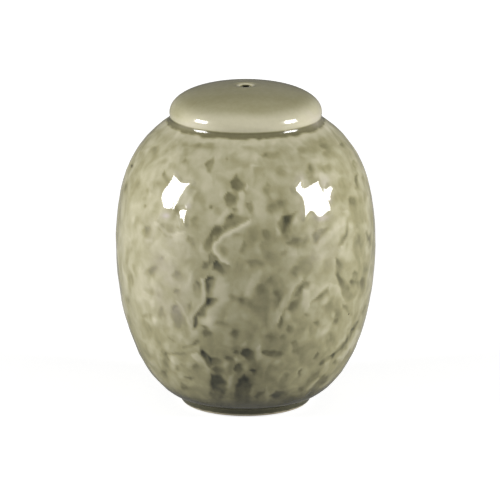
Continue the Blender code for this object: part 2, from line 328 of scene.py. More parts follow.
# Soft spots: column, row, half width, half height, lean in degrees and depth
SPOTS = [
    # Upper left
    (186, 152, 3.5, 4, 0, 0.23),
    (185, 158, 5, 6, 0, 0.14),
    (173, 166, 4, 4, 0, 0.22),
    # Painted light: a pale spot that lifts the shade beside the leaf facet's top tip
    (177, 175, 3, 4, -20, -0.40),
    (134, 244, 5, 5, 0, 0.20),
    (206, 187, 7, 6, 0, -0.16),
    (196.5, 174, 5, 6, 0, 0.26),
    (154, 185, 4.5, 4.5, 0, 0.24),
    (163.3, 162, 3, 6, 60, 0.28),
    (171, 147, 4, 6, 50, 0.28),
    (187, 145, 6, 3, 0, 0.19),
    (207, 145.6, 13, 3, 0, 0.28),
    (154.5, 150.6, 4, 6, 45, 0.23),
    (142, 157.5, 4, 6, 20, 0.26),
    (219.5, 177.5, 3.5, 4, 0, 0.23),
    (235, 156, 5, 3.5, 0, 0.20),
    (247, 148, 7, 3, 0, 0.20),
    (218, 211.5, 4.5, 4, 0, 0.26),
    (167, 228.5, 9, 6, 0, 0.28),
    (148, 240.5, 4, 2.5, 0, -0.20),
    (199.5, 197.5, 6, 5, -30, 0.18),
    (189.5, 262.5, 5, 5, 0, 0.23),
    (149.5, 191, 4, 3, 0, 0.20),
    (138, 184, 2.5, 5, 0, 0.14),
    (126.4, 189, 2, 8, 0, 0.32),
    (144.5, 199, 3.5, 3, 0, 0.19),
    (157, 205, 5, 4, 0, 0.20),
    (137, 222.5, 3, 6, 0, 0.23),
    (224.5, 250, 4.5, 4.5, 0, 0.31),
    (237, 235, 5, 2.5, 0, 0.23),
    # Upper right
    (302, 214, 2.6, 9, 0, -0.30),
    (313, 214.5, 4, 3.5, 0, -0.40),
    (327, 169, 6, 4.5, 0, 0.16),
    (275, 196, 4, 4.5, 0, -0.30),
    (310, 171, 5, 8, 0, 0.24),
    (336, 199, 5, 6, 0, 0.20),
    (310.8, 178, 2.5, 3, 0, 0.16),
    (328.5, 169, 5.5, 5.5, 0, 0.26),
    (282.5, 171, 7, 5.5, 0, 0.23),
    (259.5, 170, 6, 5, 0, 0.19),
    (303, 149.5, 6.5, 3.5, 0, 0.28),
    (326, 154, 4, 3, 0, 0.26),
    (296, 157, 6, 4, 0, 0.19),
    (342, 183.5, 4, 6, -15, 0.23),
    (347, 255, 5, 6, 20, -0.16),
    (323, 254, 7, 5, 0, -0.24),
    (316, 161, 6, 3, 0, -0.28),
    (309.5, 230, 4.5, 4.5, 0, -0.20),
    (367, 249, 2, 6, 0, -0.30),
    (304, 261, 8, 5, 0, 0.23),
    (295.5, 271, 6, 5, 0, 0.26),
    # Lower left
    (170, 324, 3, 8, -15, -0.25),
    (209, 321, 5, 5, 0, -0.28),
    (153.3, 292.5, 3.5, 10, -65, 0.31),
    (127, 301, 3, 6, 0, 0.25),
    (154.5, 321, 3, 4, 0, -0.41),
    (152, 304, 3, 5, 0, -0.34),
    (217, 370.5, 6, 4, 0, 0.41),
    (175, 353.8, 12, 1.6, 0, 0.32),
    (197, 367, 5, 3.5, 0, 0.36),
    (165.8, 364, 3.5, 11, 0, 0.26),
    (172.6, 362, 2.8, 8, -5, -0.30),
    (226, 365, 3, 6, 0, -0.30),
    (135, 270, 2.2, 7, -20, 0.22),
    (131, 280, 3, 6, 0, 0.20),
    (166, 346, 4, 4, 0, -0.30),
    (152, 345, 4, 7, 0, -0.27),
    (162, 312.5, 4, 6, 0, 0.31),
    # Lower right
    (281, 305, 2.6, 9, 30, -0.41),
    (324.5, 301, 3, 6, 45, -0.41),
    (287.5, 316, 3, 5, 15, -0.30),
    (282.6, 337.5, 3, 3, 0, 0.24),
    (275, 337, 8, 5, 0, 0.08),
    (246, 367.5, 2.8, 4, 0, -0.35),
    (284.5, 380, 4.5, 7.5, 25, 0.41),
    (300, 372.5, 1.6, 4, 25, 0.68),
    (332.6, 315, 2.4, 4, 0, -0.41),
    (372, 271, 1.6, 6, 0, 0.26),
    (275.5, 299, 13, 10, 0, 0.09),
    (261, 289, 6, 6, 0, 0.28),
    (329.5, 340, 6, 8, 0, 0.38),
    (330, 307, 7, 5, 0, 0.12),
    (354, 282, 4, 5, 0, 0.31),
    (363, 283, 3, 6, 10, 0.22),
    (365.5, 268, 2.2, 6, 0, 0.20),
]

# Long creases and ridge lines: half width, depth, and the columns and rows that the line runs through
CREASES = [
    (3.0, 0.20, [(192, 188.5), (185, 199), (180.5, 206.5), (172, 218)]),
    (1.6, -0.25, [(156, 222.5), (169.5, 235), (184.5, 232.5)]),
    (4.0, -0.27, [(342, 221), (330, 234), (316, 247.5)]),
    (1.4, -0.20, [(177, 302), (183, 310), (187, 318), (191, 330)]),
    (2.0, 0.26, [(211, 299), (203, 307), (197, 315), (195, 326)]),
    (1.8, 0.30, [(184, 347), (190, 346.5), (196, 344.5)]),
    (1.2, 0.40, [(357.5, 321.5), (353, 329)]),
    (1.8, 0.42, [(353, 330), (346.5, 341.5), (340, 348.5), (332, 355.5)]),
    (1.7, 0.46, [(334, 354), (328, 358.5), (320, 364)]),
    (2.4, -0.40, [(358, 332), (350.5, 346.5), (342.5, 356), (338, 359.5)]),
    (2.0, -0.22, [(347, 331), (343, 339), (337, 346)]),
    (4.0, -0.08, [(242, 312), (254, 320), (266, 332)]),
    (3.0, 0.26, [(317, 375), (309.5, 381), (301, 388)]),
    (2.0, -0.24, [(318, 379), (313, 383), (308, 388.5)]),
    (3.4, 0.36, [(324.5, 377.5), (317, 386), (308, 395.5)]),
    # A scratch, painted pale as its highlight
    (0.9, -0.24, [(251, 166), (263, 166.3)]),
]

# Broken edges: half width and depth of the dark side, the same of the pale side, and the line, which has
# its dark side on the right
EDGES = [
    (4.0, 0.12, 3.6, 0.72, [
        (248, 221.5), (240, 225.5), (230, 230.5), (221, 236), (214.5, 243), (212.2, 248.5), (214.5, 253.5),
        (220, 259), (226, 263.5)]),
    (3.4, 0.46, 2.4, 0.22, [
        (193, 325.5), (193.5, 318), (199, 309.5), (206.5, 299.5), (207, 293), (204.8, 281), (207, 276.5)]),
    (3.0, 0.15, 3.0, 0.20, [(209, 367), (204.5, 360), (201, 350.5)]),
    (4.0, 0.20, 3.0, 0.30, [(349, 225), (347, 236), (341.5, 245.5)]),
    (4.0, 0.12, 4.5, 0.35, [(279, 320), (284, 310), (289.5, 299), (294, 288), (301, 281)]),
    (4.0, 0.12, 3.8, 0.24, [(310.5, 304), (312.5, 300.5), (319, 294.5), (327.5, 287)]),
    (4.0, 0.08, 3.8, 0.26, [(343, 297), (339, 285), (336, 275), (335.5, 262)]),
]

# Wide pools where the glaze lies deeper, together with painted shade that darkens the middle and bottom of
# the belly and painted light that pales some sides: column, row, half width, half height and depth
POOLS_AND_PAINTED_LIGHT = [
    (258, 250, 55, 62, 0.13),
    (262, 345, 58, 62, 0.16),
    (345, 262, 40, 70, 0.11),
    (361, 168, 12, 26, -0.12),
    (334, 147, 20, 10, 0.14),
    (290, 160, 12, 15, 0.10),
    (320, 167, 6, 5, 0.12),
    (169, 156, 14, 8, -0.08),
    (202, 156, 26, 18, -0.06),
    (275, 291, 9, 10, -0.12),
    (312, 378, 30, 20, 0.03),
    (316, 112, 9, 10, 0.08),
    (166, 262, 24, 26, -0.05),
    (176, 112, 9, 10, 0.30),
    (192, 112, 9, 6, 0.08),
    (184, 128, 14, 7, -0.06),
]

# Painted sheen: reflections and small glints painted pale into the glaze, laid out as the pools are
PAINTED_SHEEN = [
    (164, 255, 22, 48, 0.15),
    (176, 300, 20, 26, 0.09),
    (322, 246, 14, 18, 0.15),
    (188.3, 206, 2.3, 2.5, 0.85),
    (166, 216, 4.5, 2.4, 0.80),
    (300, 180, 4.5, 4.5, 0.60),
    (324, 181, 5, 5, 0.40),
    (323, 218, 7, 3, 0.50),
    (330, 198, 3, 6, 0.40),
    (315, 116, 10, 9, 0.25),
    (196, 125, 12, 3, 0.30),
]

# Iron specks, laid out as the pools are
SPECKS = [
    (132, 166, 1.4, 1.4, 0.60),
    (145, 206, 1.4, 1.4, 0.35),
    (211, 207, 1.4, 1.4, 0.50),
    (227, 159, 1.4, 1.4, 0.25),
    (178, 227, 1.4, 1.4, 0.25),
]

# Flat facets: the number of the lamp, how far they are turned from the surface to catch it, and the corners
FACETS = [
    (0, 0.0, [
        (166, 203), (172, 203), (175, 208), (176, 214), (178.5, 221), (181, 228), (177, 234), (165, 233),
        (157, 221)]),
    (0, -0.3, [
        (192, 187), (198, 191), (193, 202), (187, 208), (174, 210), (172.8, 204.5), (175, 198.5),
        (179, 192.5)]),
    (0, 0.0, [(150, 181), (163, 175), (170, 181), (164, 189), (160, 197), (151, 192)]),
    (1, -0.2, [(318.5, 174), (328, 174), (327, 188), (322.5, 194), (319, 191)]),
    (1, 0.0, [(301, 177), (314, 174), (316.5, 181), (302, 190)]),
    (1, 0.0, [(304, 219), (310, 212), (314, 216), (318, 220), (316, 231), (304, 231)]),
    (1, -0.3, [(330, 194), (339, 190), (344, 205), (336, 217), (331, 211)]),
    (0, 1.0, [
        (175, 174.5), (178, 178.5), (182, 183), (193, 183), (185.5, 186.5), (178.6, 192), (174.8, 198.5),
        (172, 207), (168, 208), (164, 206), (162.5, 200), (162.5, 195), (164.5, 190), (170, 184.5),
        (172.5, 179.5)]),
    (0, 1.0, [(178.2, 209.5), (183.8, 209), (185.3, 215), (185.2, 224.5), (182.6, 217)]),
    (1, 1.0, [
        (293.5, 188.5), (299.5, 180), (301.5, 191), (317.5, 181), (319, 194), (322.5, 196), (326, 191),
        (329, 185.5), (332.5, 188.5), (329, 194), (326.5, 199), (329.5, 207), (330, 210.5), (324, 215),
        (320, 218), (316.5, 216.5), (312, 210.5), (309, 212), (304, 219), (303, 201), (301.5, 197),
        (298, 194), (294.5, 191.5)]),
]

# Stopper, as its solid is cut
PLUG_RADIUS = 0.0082
RIB_RADIUS = 0.0087
RIB_HALF_WIDTH = 0.0005
RIB_COUNT = 2
PLUG_LEAD = 0.0009
FLANGE_THICKNESS = 0.0016
FLANGE_EDGE = 0.0003
CUP_RADIUS = 0.0062
CUP_END_THICKNESS = 0.0020
GATE_RADIUS = 0.0007
GATE_HEIGHT = 0.00025
TAB_RADIUS = 0.0032
TAB_THICKNESS = 0.0009
STOPPER_ROUNDING = 0.00012
STOPPER_RING_STEP = 0.00035

# Glaze, bare clay and silicone. Colours are 8-bit sRGB, and the glaze's stand beside their depths
GLAZE_STOPS = [
    (0.00, (216, 210, 184)),
    (0.30, (188, 183, 154)),
    (0.55, (158, 153, 118)),
    (0.80, (118, 114, 86)),
    (1.00, (80, 79, 62)),
    (GLAZE_RANGE, (34, 34, 24)),
]
# Colour of the painted sheen
PAINTED_SHEEN_GREY = (202, 193, 186)
SPECK_BROWN = (58, 48, 36)
SPECK_SPACING = 0.0060
SPECK_RADIUS = 0.00022
SPECK_SHARE = 0.22
MOTTLE_SIZE, MOTTLE_DEPTH = 0.0011, 0.10
GRAIN_SIZE, GRAIN_DEPTH = 0.00032, 0.05
GLAZE_ROUGHNESS = (0.10, 0.16)
GLAZE_IOR = 1.5
GLAZE_BUMP = (0.5, 0.00006)
PEEL_SIZE, PEEL_DEPTH = 0.0019, 0.12
CLAY_PALE = (216, 206, 180)
CLAY_DARK = (190, 178, 150)
CLAY_ROUGHNESS = 0.85
CLAY_GRAIN_SIZE = 0.0004
SILICONE_STOPS = [(0.30, (226, 223, 213)), (0.75, (206, 201, 188))]
SILICONE_ROUGHNESS = (0.42, 0.62)
SILICONE_BUMP = (0.4, 0.00004)
DUST_SIZE, DUST_BREAK = 0.0022, 0.65
SATIN_SIZE = 0.0014
SKIN_SIZE = 0.00022

# Studio
SOFTBOX_AZIMUTHS = (math.radians(-72), math.radians(72))
SOFTBOX_ELEVATION = math.radians(19)
SOFTBOX_DISTANCE = 0.70
SOFTBOX_SIZE = (0.25, 0.235)
SOFTBOX_POWER = 5.2
WORLD_GREY = 0.04
FLOOR_GREY = 0.50
FLOOR_GLOW = (0.75, 1.0)
FLOOR_GLOW_REACH = (0.15, 0.40)
FLOOR_DROP = 0.0003
COVE_SIDES = 96
COVE_FLAT = 1.0
COVE_RADIUS = 3.0
COVE_BEND = 0.8
COVE_HEIGHT = 1.3
COVE_STEPS = 12
CARD_GREY = 0.45
CARD_FLAT = 0.05
CARD_RADIUS = 1.1
CARD_BEND = 0.3
CARD_HEIGHT = 0.7
CARD_STEPS = 8


def smooth_step(low, high, value):
    share = np.clip((value - low) / (high - low), 0.0, 1.0)
    return share * share * (3.0 - 2.0 * share)


def unit(vector):
    return vector / np.linalg.norm(vector)


def photo_place(points):
    """Column and row of the photograph at which points of the vessel show."""
    offset = points - EYE
    depth = offset @ VIEW
    column = AXIS_COLUMN + FOCAL_PIXELS * (offset @ RIGHT) / depth
    row = AIM_ROW - FOCAL_PIXELS * (offset @ UP) / depth
    return column, row


def facing(points, normals):
    """Cosine between the surface and the line to the camera, below zero on the far side."""
    to_eye = EYE - points
    to_eye /= np.linalg.norm(to_eye, axis=1)[:, None]
    return np.sum(normals * to_eye, axis=1)


def half_outline(node):
    """A turned CAD node's outline at y = 0 and x > 0: (radius, height) from the top, down its outside."""
    vertices = [tuple(round(c, 6) for c in v.co) for v in node.data.vertices]
    neighbours = {}
    for edge in node.data.edges:
        ends = [vertices[i] for i in edge.vertices]
        if ends[0] != ends[1] and all(abs(y) < 1e-5 and x > 0 for x, y, _ in ends):
            a, b = [(x, z) for x, _, z in ends]
            neighbours.setdefault(a, set()).add(b)
            neighbours.setdefault(b, set()).add(a)
    start = max(neighbours, key=lambda point: (point[1], point[0]))
    walk = [start]
    here = max(neighbours[start])
    while here != start:
        walk.append(here)
        here = next(point for point in neighbours[here] if point != walk[-2])
    return np.array(walk)


def curved(outline):
    """The closed outline in fine steps, with facets turned back into curves and corners kept."""
    ahead = np.roll(outline, -1, axis=0) - outline
    length = np.linalg.norm(ahead, axis=1)
    direction = ahead / length[:, None]
    before = np.roll(direction, 1, axis=0)
    length_before = np.roll(length, 1)
    corner = np.sum(direction * before, axis=1) < math.cos(CORNER_ANGLE)
    tangent = before * length[:, None] + direction * length_before[:, None]
    tangent /= np.linalg.norm(tangent, axis=1)[:, None]
    rows = []
    for i, start in enumerate(outline):
        j = (i + 1) % len(outline)
        leave = (direction[i] if corner[i] else tangent[i]) * length[i]
        arrive = (direction[i] if corner[j] else tangent[j]) * length[i]
        t = np.arange(0, 1, FINE_STEP / length[i])[:, None]
        rows.append(
            (1 + 2 * t) * (1 - t) ** 2 * start + t * (1 - t) ** 2 * leave
            + t * t * (3 - 2 * t) * outline[j] + t * t * (t - 1) * arrive)
    return np.concatenate(rows)


def straight(points):
    """An open line of straight runs in fine steps."""
    rows = []
    for start, end in zip(points, points[1:]):
        count = max(2, int(math.dist(start, end) / FINE_STEP))
        rows.append(np.linspace(start, end, count, endpoint=False))
    return np.concatenate(rows + [np.array(points[-1:])])


def softened(line, width, closed):
    """A finely stepped line with its edges rounded by a running mean."""
    reach = int(ROUNDING_REACH * width / FINE_STEP)
    kernel = np.exp(-0.5 * (np.arange(-reach, reach + 1) * FINE_STEP / width) ** 2)
    kernel /= kernel.sum()
    if closed:
        padded = np.concatenate([line[-reach:], line, line[:reach]])
    else:
        padded = np.pad(line, ((reach, reach), (0, 0)), mode="reflect", reflect_type="odd")
    return np.stack([np.convolve(padded[:, k], kernel, "valid") for k in (0, 1)], axis=1)


def landmarks(loop):
    """Where along the vessel's outline the dome ends, the belly is widest and the table is met."""
    radius, height = loop.T
    belly = int(np.argmax(radius))
    shrunk = np.maximum.accumulate(radius[:belly]) - radius[:belly] > NECK_INSET / 2
    edge = int(np.argmax(shrunk))
    table = belly + int(np.argmin(height[belly:]))
    return edge, belly, table


def with_neck_fillet(loop):
    """The outline with the hollow under the dome filled by glaze: a fillet from the dome to the shoulder."""
    radius, height = loop.T
    edge, belly, _ = landmarks(loop)
    landing = edge + int(np.argmax(height[edge:belly] < height[edge] - NECK_FALL))
    ahead = landing + SHOULDER_STEPS
    slope = (loop[ahead] - loop[landing]) / (radius[ahead] - radius[landing])
    start = loop[edge] - np.array([NECK_INSET, 0.0])
    corner = loop[landing] + slope * (start[0] - radius[landing])
    t = np.linspace(0, 1, int(NECK_FALL * FILLET_STRETCH / FINE_STEP))[:, None]
    fillet = (1 - t) ** 2 * start + 2 * t * (1 - t) * corner + t * t * loop[landing]
    return np.concatenate([loop[:edge], fillet, loop[landing + 1:]])


def ring_indices(line, spacing, turn, closed):
    """Indices of the points that become rings: no further apart than spacing, closer where the line turns."""
    ahead = np.roll(line, -1, axis=0) - line
    if not closed:
        ahead[-1] = ahead[-2]
    step = np.linalg.norm(ahead, axis=1)
    heading = np.unwrap(np.arctan2(ahead[:, 0], ahead[:, 1]))
    bend = np.abs(np.gradient(heading)) / step
    spacing = np.minimum(spacing, turn / np.maximum(bend, 1e-6))
    share = np.cumsum(step / np.maximum(spacing, SMALLEST_RING_STEP))
    if closed:
        count = int(share[-1])
        return np.searchsorted(share, (np.arange(count) + 0.5) * share[-1] / count)
    return np.searchsorted(share, np.linspace(share[0], share[-1], int(share[-1]) + 1))


def around(count, front_share=0.0):
    """Angles of a turned mesh's points, closer together towards the front by front_share."""
    even = np.linspace(-math.pi, math.pi, ANGLE_TABLE * count)
    turn = np.arange(count) * math.tau / count - math.pi
    return np.interp(turn, even + front_share * np.sin(even), even) - math.pi / 2


def around_axis(angle, radii, heights):
    """Points of rings with these radii and heights, as one list."""
    rings = np.broadcast_arrays(radii * np.cos(angle), radii * np.sin(angle), heights)
    return np.stack(rings, axis=2).reshape(-1, 3)


def ring_faces(rings, segments, closed):
    """Faces between each ring of points and the next."""
    here = np.arange(segments)
    beside = np.roll(here, -1)
    faces = []
    for i in range(rings if closed else rings - 1):
        ring, below = i * segments, (i + 1) % rings * segments
        faces += np.stack([ring + here, below + here, below + beside, ring + beside], axis=1).tolist()
    return faces


def add_object(name, data):
    item = bpy.data.objects.new(name, data)
    bpy.context.scene.collection.objects.link(item)
    return item


def add_mesh(name, points, faces, material):
    mesh = bpy.data.meshes.new(name)
    mesh.from_pydata(points, [], faces)
    mesh.shade_smooth()
    mesh.materials.append(material)
    return add_object(name, mesh)


def with_poles(points, faces, segments):
    """The points and faces of an open turned mesh, closed at its two ends."""
    top, bottom = len(points), len(points) + 1
    last = len(points) - segments
    sides = [(i, (i + 1) % segments) for i in range(segments)]
    points = points + [(0, 0, points[0][2]), (0, 0, points[-1][2])]
    faces = faces + [(top, a, b) for a, b in sides] + [(bottom, last + b, last + a) for a, b in sides]
    return points, faces


def add_attribute(piece, name, values):
    attribute = piece.data.attributes.new(name, "FLOAT", "POINT")
    attribute.data.foreach_set("value", np.asarray(values, np.float32).ravel())


def blob(x, y, mark, edge):
    """How much of a hollow or ridge each place has: its depth in the middle, 0 outside.

    A hollow is cut steeply at its upper left, with a pale lip there, and runs out softly to the lower right.
    """
    middle_x, middle_y, half_width, half_height, lean, depth = mark
    angle = math.radians(lean)
    across = ((x - middle_x) * math.cos(angle) + (y - middle_y) * math.sin(angle)) / half_width
    along = ((y - middle_y) * math.cos(angle) - (x - middle_x) * math.sin(angle)) / half_height
    away = np.hypot(across, along) + 1e-6
    slant = (across + along) / (away * math.sqrt(2))
    if depth < 0:
        return depth * np.exp(-away ** (2 * edge))
    body = np.exp(-away ** (2 * edge * np.exp(-MARK_SLANT * slant)))
    lip = np.exp(-((away - MARK_LIP_PLACE) / MARK_LIP_WIDTH) ** 2) * np.maximum(-slant, 0)
    return depth * (body - MARK_LIP * lip)


def line_distance(x, y, line):
    """Distance from a line of straight runs, below zero to the left of its direction."""
    nearest = np.full(len(x), np.inf)
    side = np.ones(len(x))
    for (x0, y0), (x1, y1) in zip(line, line[1:]):
        run_x, run_y = x1 - x0, y1 - y0
        share = np.clip(((x - x0) * run_x + (y - y0) * run_y) / (run_x ** 2 + run_y ** 2), 0, 1)
        off_x, off_y = x - x0 - share * run_x, y - y0 - share * run_y
        away = np.hypot(off_x, off_y)
        closer = away < nearest
        nearest = np.where(closer, away, nearest)
        side = np.where(closer, np.sign(run_x * off_y - run_y * off_x), side)
    return nearest * side


def outline_distance(x, y, corners):
    """Distance from a closed outline, below zero inside it."""
    outline = corners + corners[:1]
    inside = np.zeros(len(x), dtype=bool)
    for (x0, y0), (x1, y1) in zip(outline, outline[1:]):
        crossed = (y0 > y) != (y1 > y)
        inside ^= crossed & (x < x0 + (y - y0) * (x1 - x0) / ((y1 - y0) or 1))
    return np.abs(line_distance(x, y, outline)) * np.where(inside, -1, 1)


def patch_depth(x, y, patch, edge):
    """Depth of a pool with a drawn outline: deep and steep at one end, running out softly at the other."""
    depth, half_edge, corners = patch
    middle_x, middle_y = np.mean(corners, axis=0)
    reach = np.ptp(corners, axis=0).max() / 2
    total = np.zeros(len(x))
    near = np.flatnonzero(np.hypot(x - middle_x, y - middle_y) < 2 * reach + 4 * half_edge)
    x, y = x[near], y[near]
    turn = math.radians(PATCH_SIDE)
    slant = np.clip(((x - middle_x) * math.cos(turn) + (y - middle_y) * math.sin(turn)) / reach, -1, 1)
    soft = half_edge * MARK_EDGE / edge * np.exp(MARK_SLANT * slant)
    away = outline_distance(x, y, corners)
    total[near] = depth * smooth_step(soft, -soft, away) * (1 - PATCH_TILT * slant)
    return total


def crease_depth(x, y, crease, edge):
    """Depth of a long crease or ridge, by the distance from its line."""
    half_width, depth, line = crease
    return depth * np.exp(-np.abs(line_distance(x, y, line) / half_width) ** (2 * edge))


def edge_depth(x, y, broken_edge, edge):
    """Depth beside a broken edge: a step from pooled glaze on its right to thin glaze on its left."""
    dark_width, dark, pale_width, pale, line = broken_edge
    away = line_distance(x, y, line)
    step = smooth_step(-EDGE_STEP / edge, EDGE_STEP / edge, away)
    pooled = step * dark * np.exp(-(away / dark_width) ** 2)
    thinned = (1 - step) * pale * np.exp(-(away / pale_width) ** 2)
    return pooled - thinned


def front_marks(points, edge):
    """Sum of the photographed marks, creases and edges at each point."""
    column, row = photo_place(points)
    total = np.zeros(len(points))
    for patch in PATCHES:
        total += patch_depth(column, row, patch, edge)
    for spot in SPOTS:
        total += blob(column, row, spot, edge)
    for crease in CREASES:
        total += crease_depth(column, row, crease, edge)
    for broken_edge in EDGES:
        total += edge_depth(column, row, broken_edge, edge)
    return total


def front_pools_and_painted_light(points, soft_marks):
    """Sum of soft marks at each point: pools of glaze, specks, painted shade and painted sheen."""
    column, row = photo_place(points)
    total = np.zeros(len(points))
    for x, y, half_width, half_height, depth in soft_marks:
        total += depth * np.exp(-((column - x) / half_width) ** 2 - ((row - y) / half_height) ** 2)
    return total


def back_marks(points, edge):
    """Marks of the same kind for the sides that the photograph doesn't show."""
    rng = np.random.default_rng(BACK_SEED)
    azimuth = np.arctan2(points[:, 1], points[:, 0])
    radius = np.hypot(points[:, 0], points[:, 1])
    low, high = points[:, 2].min(), points[:, 2].max()
    total = np.zeros(len(points))
    for _ in range(BACK_MARKS):
        turn = rng.uniform(-math.pi, math.pi)
        height = rng.uniform(low, high)
        half_width = rng.uniform(*BACK_HALF_WIDTH)
        half_height = half_width * rng.uniform(*BACK_STRETCH)
        lean = rng.normal(*BACK_LEAN)
        depth = rng.choice(BACK_DEPTHS)
        away = (azimuth - turn + math.pi) % math.tau - math.pi
        mark = (0, 0, half_width, half_height, lean, depth)
        total += blob(away * radius, height - points[:, 2], mark, edge)
    return total


def fractal(points, size, octaves):
    return np.array([noise.fractal(Vector(p) / size, 1.0, 2.0, octaves) for p in points])


def shaken(points, size, reach):
    """The points moved a little by smooth noise, which makes outlines ragged."""
    return points + reach * np.array([noise.noise_vector(Vector(p) / size) for p in points])


def facets(points, size):
    """Chipped planes side by side, about -1 to 1: each has its own depth and its own slope."""
    depth = np.empty(len(points))
    for i, p in enumerate(points):
        spot = Vector((p[0], p[1], p[2] * FACET_STRETCH)) / size
        distances, centres = noise.voronoi(spot)
        total = 0.0
        weights = 0.0
        for distance, centre in zip(distances, centres):
            weight = math.exp(FACET_CRISPNESS * (distances[0] - distance))
            seed = noise.cell_vector(centre * FACET_SLOPE_SEED)
            slope = Vector((seed.x - 0.5, seed.y - 0.5, seed.z - 0.5)) * 2
            level = 2 * noise.cell(centre * FACET_LEVEL_SEED) - 1
            total += weight * (level + slope.dot(spot - centre) * 2) / 2
            weights += weight
        depth[i] = total / weights
    return depth


def relief(points, front):
    """How far the surface is lifted along its normal, and how deep the glaze lies on it."""
    bent = shaken(points, WARP_SIZE, WARP_REACH)
    ragged = shaken(points, RAGGED_SIZE, RAGGED_REACH)
    chips = facets(bent, CHIP_SIZE)
    texture = FLAKE_DEPTH * facets(bent, FLAKE_SIZE) + CHIP_DEPTH * chips
    texture += PLANE_DEPTH * facets(bent, PLANE_SIZE) + CLOUD_DEPTH * fractal(bent, CLOUD_SIZE, 3)
    hollows = front * front_marks(ragged, MARK_SLOPE) + (1 - front) * back_marks(ragged, MARK_SLOPE)
    soft_marks = front * front_marks(ragged, POOL_EDGE) + (1 - front) * back_marks(ragged, POOL_EDGE)
    # Darker towards the bottom: partly pooled glaze, partly painted shade
    low = smooth_step(*LOW_BELLY, points[:, 2])
    lift = SWELL_DEPTH * fractal(bent, SWELL_SIZE, 4) - RELIEF_DEPTH * hollows - CHIP_LIFT * chips
    depth = BELLY_DEPTH + LOW_BELLY_POOL_AND_SHADE * low + texture + MARK_DEPTH * soft_marks * (1 + MARK_BREAK * texture)
    return lift, depth + front * front_pools_and_painted_light(points, SPECKS)


def with_facets(lift, points, normals, front):
    """The lift with the facets laid flat, turned to the line halfway between the camera and their lamp."""
    column, row = photo_place(points)
    for lamp, turn, corners in FACETS:
        middle_x, middle_y = np.mean(corners, axis=0)
        share = smooth_step(FACET_EDGE, 0, outline_distance(column, row, corners)) * (front > 0.5)
        nearest = np.argmin(np.hypot(column - middle_x, row - middle_y) + PHOTO_SIZE * (front < 0.5))
        centre, outward = points[nearest], normals[nearest]
        halfway = unit(unit(EYE - centre) + unit(softbox_place(SOFTBOX_AZIMUTHS[lamp]) - centre))
        square = outward + turn * (halfway - outward)
        near = np.flatnonzero(share)
        level = (centre - points[near]) @ square / (normals[near] @ square)
        lift[near] += (level - lift[near]) * share[near]
    return lift


def dome_depth(points, edge_height, top):
    """Depth of the glaze on the dome: thin on its side and at the hole's rim, with painted shade deep on top
    and in the hole.
    """
    across, up = np.hypot(points[:, 0], points[:, 1]), points[:, 2]
    streaks = DOME_STREAK * fractal(points * np.array([1.0, 1.0, DOME_STREAK_STRETCH]), SWELL_SIZE, 3)
    high = smooth_step(*DOME_PALE, up - edge_height)
    depth = DOME_SIDE_DEPTH + (DOME_TOP_SHADE_DEPTH - DOME_SIDE_DEPTH) * high + streaks
    at_hole = smooth_step(POUR_RIM_REACH[1], POUR_RIM_REACH[0], across)
    depth += (POUR_RIM_DEPTH - depth) * at_hole
    # Painted shade down the hole, darkest across its middle
    in_hole = at_hole * smooth_step(*BORE_FALL, top - up)
    shaded_core = smooth_step(BORE_SHADE_CORE[1], BORE_SHADE_CORE[0], np.abs(points[:, 0]))
    bore_shade_depth = BORE_SHADE_SIDE_DEPTH + (GLAZE_RANGE - BORE_SHADE_SIDE_DEPTH) * shaded_core
    return depth + (bore_shade_depth - depth) * in_hole


def with_neck(depth, up, ragged_up, edge_height, zone):
    """The depth with the pool under the dome's edge, a painted shadow line above it along the dome's rim, and
    the thin lip below it.
    """
    low, high = edge_height - NECK_BAND[0], edge_height + NECK_BAND[1]
    in_neck = smooth_step(low - NECK_BAND_EDGE, low + NECK_BAND_EDGE, ragged_up)
    in_neck *= smooth_step(high + NECK_BAND_EDGE, high - NECK_BAND_EDGE, up)
    depth = depth + NECK_LIP_DEPTH * smooth_step(NECK_LIP[1], NECK_LIP[0], low - ragged_up) * zone["belly"]
    depth += (NECK_DEPTH - depth) * in_neck * zone["upper"]
    return depth + NECK_SHADOW_LINE_DEPTH * np.exp(-((high - up) / NECK_SHADOW_LINE) ** 2) * zone["upper"]


def with_foot(depth, up, zone):
    """The depth with the pool over the foot, darkened further by painted shade, and the pale line in it,
    which is thin glaze on the foot's top edge painted paler as a highlight.
    """
    depth = depth + (FOOT_POOL_AND_SHADE_DEPTH - depth) * smooth_step(*FOOT_POOL_AND_SHADE_REACH, up) * zone["foot"]
    return depth + FOOT_LINE_GLAZE_AND_HIGHLIGHT * np.exp(-((up - FOOT_LINE_HEIGHT) / FOOT_LINE) ** 2) * zone["lower"]


def vessel_rings(loop):
    """Indices of the outline's points that become rings, with their places and outward normals."""
    edge, _, table = landmarks(loop)
    outside = np.arange(len(loop)) < table
    spacing = np.where(outside, PLAIN_RING_STEP, INNER_RING_STEP)
    spacing[edge:table] = RELIEF_RING_STEP
    chosen = ring_indices(loop, spacing, np.where(outside, RING_TURN, INNER_RING_TURN), closed=True)
    heading = (np.roll(loop, -1, axis=0) - np.roll(loop, 1, axis=0))[chosen]
    heading /= np.linalg.norm(heading, axis=1)[:, None]
    return chosen, loop[chosen], np.stack([-heading[:, 1], heading[:, 0]], axis=1)


def vessel_zones(loop, chosen, points):
    """The height of the dome's edge, and which points stand on each part of the outline."""
    edge, belly, table = landmarks(loop)
    edge_height = loop[edge, 1]
    place = np.repeat(chosen, VESSEL_SEGMENTS)
    across, up = np.hypot(points[:, 0], points[:, 1]), points[:, 2]
    return edge_height, {
        "dome": (place <= edge) | (across < POUR_RIM_REACH[1]) & (up > edge_height),
        "belly": (place > edge) & (place < table) & (up < edge_height - NECK_FALL / 2),
        "foot": (place > belly) & (place <= table),
        "upper": place < belly,
        "lower": place > belly,
        "outside": place < table,
    }


